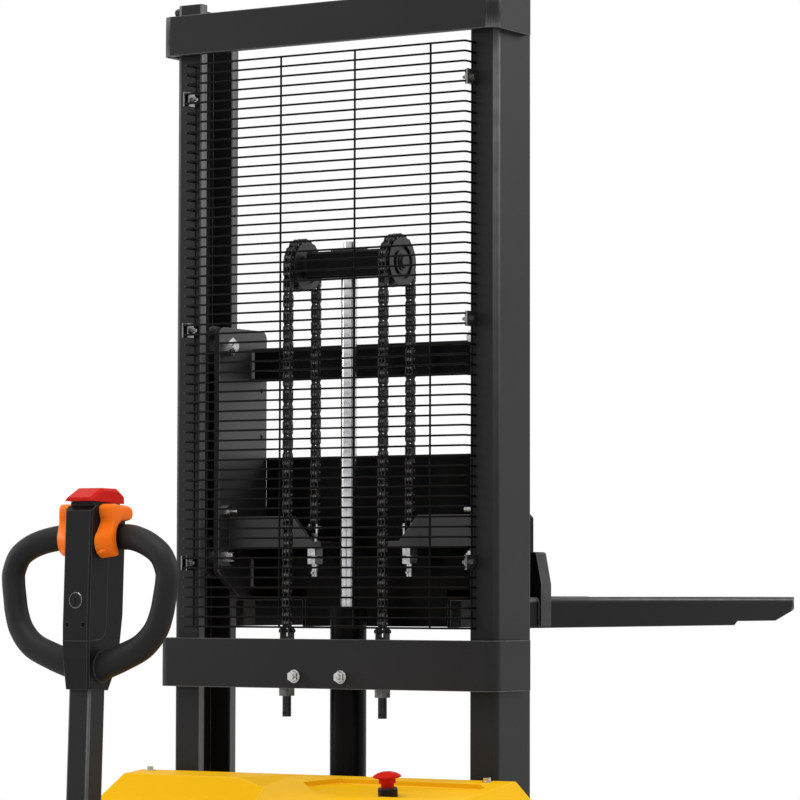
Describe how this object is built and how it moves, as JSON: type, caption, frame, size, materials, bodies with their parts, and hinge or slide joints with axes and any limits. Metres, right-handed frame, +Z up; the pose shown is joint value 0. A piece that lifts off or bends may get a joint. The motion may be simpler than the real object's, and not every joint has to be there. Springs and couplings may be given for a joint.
{
  "type": "electric stacker",
  "caption": "Walk-behind electric stacker with single-stage mast, chain lift carriage, wrap-over forks, straddle legs, mesh guard, hood and tiller.",
  "frame": {"origin": "on the floor under the middle of the whole truck's length and width", "axes": "+Z up, +Y towards the fork tips, +X to the truck's right as seen from the operator"},
  "size_m": [0.8, 1.81, 2.06],
  "materials": {
    "mast_black": "matt powder coat",
    "hood_yellow": "satin powder coat",
    "zinc": "bright zinc plate",
    "chrome": "hard chrome",
    "chain_steel": "oiled dark steel",
    "wheel_steel": "turned steel",
    "red_plastic": "smooth",
    "orange_plastic": "smooth",
    "black_plastic": "fine grain",
    "grip_rubber": "soft matt",
    "tread": "polyurethane tread",
    "battery_case": "moulded",
    "cast_alloy": "as cast"
  },
  "bodies": {
    "chassis": {"base_frame": "mast_black", "leg_right": "mast_black", "leg_left": "mast_black", "load_wheel_axles": "wheel_steel", "upright_right": "mast_black", "upright_left": "mast_black", "top_beam": "mast_black", "lower_beam": "mast_black", "lift_cylinder": "mast_black", "cylinder_gland": "mast_black", "cylinder_saddle": "mast_black", "mast_bolts": "zinc", "mesh_guard": "mast_black", "mesh_clamps": "zinc", "mast_chain_anchors": "zinc", "chain_near_runs": "chain_steel", "hood": "hood_yellow", "hood_screws": "zinc", "estop_base": "black_plastic", "battery": "battery_case", "power_pack": "cast_alloy", "controller": "cast_alloy"},
    "lift_rod": {"piston_rod": "chrome", "crosshead": "mast_black", "rod_end_plate": "zinc", "chain_wheel_pins": "wheel_steel", "chain_wraps": "chain_steel"},
    "chain_wheel_left": {"chain_wheel_left": "wheel_steel"},
    "chain_wheel_right": {"chain_wheel_right": "wheel_steel"},
    "carriage": {"carriage_side_right": "mast_black", "carriage_side_left": "mast_black", "carriage_upper_bar": "mast_black", "carriage_lower_bar": "mast_black", "carriage_front_plate": "mast_black", "fork_right": "mast_black", "fork_left": "mast_black", "roller_axles": "zinc", "carriage_chain_anchors": "zinc", "chain_far_runs": "chain_steel"},
    "mast_roller_lower_left": {"mast_roller_lower_left": "wheel_steel"},
    "mast_roller_upper_left": {"mast_roller_upper_left": "wheel_steel"},
    "mast_roller_lower_right": {"mast_roller_lower_right": "wheel_steel"},
    "mast_roller_upper_right": {"mast_roller_upper_right": "wheel_steel"},
    "drive_turret": {"drive_turret": "mast_black", "drive_motor": "cast_alloy"},
    "drive_wheel": {"drive_wheel": "tread"},
    "castor_fork_left": {"castor_fork_left": "zinc"},
    "castor_wheel_left": {"castor_wheel_left": "tread"},
    "castor_fork_right": {"castor_fork_right": "zinc"},
    "castor_wheel_right": {"castor_wheel_right": "tread"},
    "load_wheel_left": {"load_wheel_left": "tread"},
    "load_wheel_right": {"load_wheel_right": "tread"},
    "estop_button": {"estop_button": "red_plastic"},
    "tiller": {"tiller_arm": "mast_black", "tiller_head": "black_plastic", "tiller_grips": "grip_rubber"},
    "belly_button": {"belly_button": "red_plastic"},
    "butterfly": {"butterfly": "orange_plastic"},
    "key_switch": {"key_switch": "black_plastic"},
    "lift_rocker": {"lift_rocker": "black_plastic"}
  },
  "joints": [
    {"name": "rod_lift", "type": "slide", "parent": "chassis", "child": "lift_rod", "axis": [0, 0, 1], "range_m": [-0.504, 0.252], "deforming": ["chain_near_runs"]},
    {"name": "carriage_lift", "type": "slide", "parent": "lift_rod", "child": "carriage", "axis": [0, 0, 1], "range_m": [-0.504, 0.252], "deforming": ["chain_far_runs"]},
    {"name": "chain_wheel_left_spin", "type": "hinge", "parent": "lift_rod", "child": "chain_wheel_left", "pos_m": [-0.09, -0.156, 1.6255], "axis": [1, 0, 0], "continuous": true},
    {"name": "mast_roller_lower_left_spin", "type": "hinge", "parent": "carriage", "child": "mast_roller_lower_left", "pos_m": [-0.273, -0.1525, 1.16], "axis": [1, 0, 0], "continuous": true},
    {"name": "mast_roller_upper_left_spin", "type": "hinge", "parent": "carriage", "child": "mast_roller_upper_left", "pos_m": [-0.273, -0.1525, 1.502], "axis": [1, 0, 0], "continuous": true},
    {"name": "chain_wheel_right_spin", "type": "hinge", "parent": "lift_rod", "child": "chain_wheel_right", "pos_m": [0.09, -0.156, 1.6255], "axis": [1, 0, 0], "continuous": true},
    {"name": "mast_roller_lower_right_spin", "type": "hinge", "parent": "carriage", "child": "mast_roller_lower_right", "pos_m": [0.273, -0.1525, 1.16], "axis": [1, 0, 0], "continuous": true},
    {"name": "mast_roller_upper_right_spin", "type": "hinge", "parent": "carriage", "child": "mast_roller_upper_right", "pos_m": [0.273, -0.1525, 1.502], "axis": [1, 0, 0], "continuous": true},
    {"name": "steering", "type": "hinge", "parent": "chassis", "child": "drive_turret", "pos_m": [0, -0.785, 0.265], "axis": [0, 0, 1], "range_deg": [-90, 90]},
    {"name": "drive_roll", "type": "hinge", "parent": "drive_turret", "child": "drive_wheel", "pos_m": [0, -0.785, 0.1], "axis": [1, 0, 0], "continuous": true},
    {"name": "tiller_tilt", "type": "hinge", "parent": "drive_turret", "child": "tiller", "pos_m": [0, -0.87058, 0.33], "axis": [1, 0, 0], "range_deg": [0, 85], "stiffness_Nm_per_rad": 24, "springref_deg": -5.73},
    {"name": "belly_press", "type": "slide", "parent": "tiller", "child": "belly_button", "axis": [0, -0.0384, -0.9993], "range_m": [0, 0.005], "stiffness_N_per_m": 1500, "springref_m": -0.003},
    {"name": "butterfly_turn", "type": "hinge", "parent": "tiller", "child": "butterfly", "pos_m": [0, -0.83734, 1.19536], "axis": [1, 0, 0], "range_deg": [-8, 8], "stiffness_Nm_per_rad": 2},
    {"name": "key_turn", "type": "hinge", "parent": "tiller", "child": "key_switch", "pos_m": [0, -0.87438, 1.09071], "axis": [0, -0.9993, 0.0384], "range_deg": [0, 90]},
    {"name": "rocker_tip", "type": "hinge", "parent": "tiller", "child": "lift_rocker", "pos_m": [0, -0.79529, 1.11769], "axis": [1, 0, 0], "range_deg": [-7, 7], "stiffness_Nm_per_rad": 0.5},
    {"name": "estop_press", "type": "slide", "parent": "chassis", "child": "estop_button", "axis": [0, 0.0958, -0.9954], "range_m": [0, 0.005]},
    {"name": "castor_left_swivel", "type": "hinge", "parent": "chassis", "child": "castor_fork_left", "pos_m": [-0.285, -0.785, 0.15], "axis": [0, 0, 1], "continuous": true},
    {"name": "castor_left_roll", "type": "hinge", "parent": "castor_fork_left", "child": "castor_wheel_left", "pos_m": [-0.285, -0.751, 0.05], "axis": [1, 0, 0], "continuous": true},
    {"name": "load_wheel_left_roll", "type": "hinge", "parent": "chassis", "child": "load_wheel_left", "pos_m": [-0.21, 0.725, 0.04], "axis": [1, 0, 0], "continuous": true},
    {"name": "castor_right_swivel", "type": "hinge", "parent": "chassis", "child": "castor_fork_right", "pos_m": [0.285, -0.785, 0.15], "axis": [0, 0, 1], "continuous": true},
    {"name": "castor_right_roll", "type": "hinge", "parent": "castor_fork_right", "child": "castor_wheel_right", "pos_m": [0.285, -0.751, 0.05], "axis": [1, 0, 0], "continuous": true},
    {"name": "load_wheel_right_roll", "type": "hinge", "parent": "chassis", "child": "load_wheel_right", "pos_m": [0.21, 0.725, 0.04], "axis": [1, 0, 0], "continuous": true}
  ],
  "couplings": [
    {"joint": "carriage_lift", "follows": "rod_lift", "ratio": 1},
    {"joint": "chain_wheel_left_spin", "follows": "rod_lift", "rad_per_m": 24.635},
    {"joint": "mast_roller_lower_left_spin", "follows": "rod_lift", "rad_per_m": 56.022},
    {"joint": "mast_roller_upper_left_spin", "follows": "rod_lift", "rad_per_m": -56.022},
    {"joint": "chain_wheel_right_spin", "follows": "rod_lift", "rad_per_m": 24.635},
    {"joint": "mast_roller_lower_right_spin", "follows": "rod_lift", "rad_per_m": 56.022},
    {"joint": "mast_roller_upper_right_spin", "follows": "rod_lift", "rad_per_m": -56.022}
  ]
}
